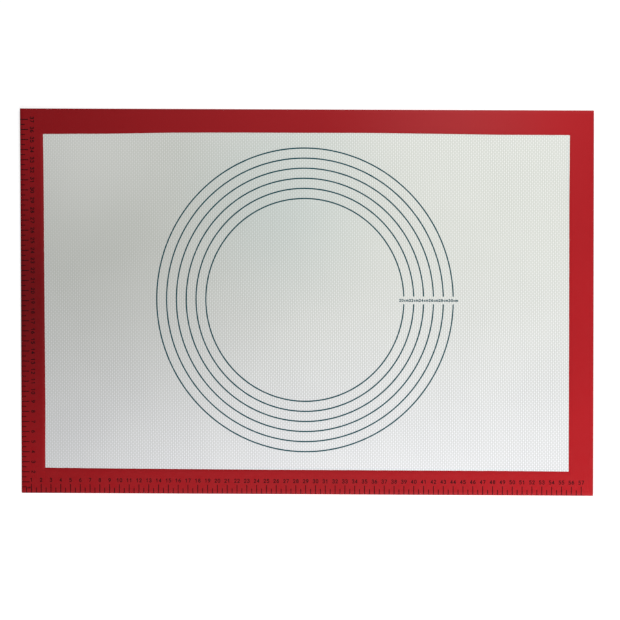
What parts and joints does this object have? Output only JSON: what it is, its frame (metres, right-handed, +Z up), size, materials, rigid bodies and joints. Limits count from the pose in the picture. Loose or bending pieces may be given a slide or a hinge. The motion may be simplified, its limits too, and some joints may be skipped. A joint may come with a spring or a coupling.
{
  "type": "silicone baking mat",
  "caption": "Flat rectangular pastry and baking mat: woven glass cloth between silicone coats, red border with printed centimetre rulers, and circle guides on the white field.",
  "frame": {"origin": "middle of the underside, on the plane that the mat lies on", "axes": "+X along the long side, so that the short ruler is along the -X edge; +Y across the mat, so that the long ruler is along the -Y edge; +Z up out of the printed face"},
  "size_m": [0.582, 0.382, 0.0007],
  "materials": {
    "clear_silicone": "translucent white silicone with the weave showing through, satin",
    "glass_cloth": "plain woven glass fibre",
    "red_silicone": "deep red silicone, satin, faint weave relief",
    "teal_ink": "dark teal printed silicone ink, matte",
    "dark_ink": "near-black printed silicone ink, matte"
  },
  "bodies": {
    "root": {"back_silicone_coat": "clear_silicone", "glass_cloth": "glass_cloth", "front_silicone_coat": "clear_silicone", "edge_seal": "red_silicone", "red_border": "red_silicone", "circle_guide_1": "teal_ink", "circle_guide_2": "teal_ink", "circle_guide_3": "teal_ink", "circle_guide_4": "teal_ink", "circle_guide_5": "teal_ink", "circle_guide_6": "teal_ink", "circle_label_1": "teal_ink", "circle_label_2": "teal_ink", "circle_label_3": "teal_ink", "circle_label_4": "teal_ink", "circle_label_5": "teal_ink", "circle_label_6": "teal_ink", "long_ruler_ticks": "dark_ink", "long_ruler_half_ticks": "dark_ink", "long_ruler_tens": "dark_ink", "long_ruler_units": "dark_ink", "short_ruler_ticks": "dark_ink", "short_ruler_half_ticks": "dark_ink", "short_ruler_tens": "dark_ink", "short_ruler_units": "dark_ink", "unit_sign": "dark_ink"}
  },
  "joints": []
}
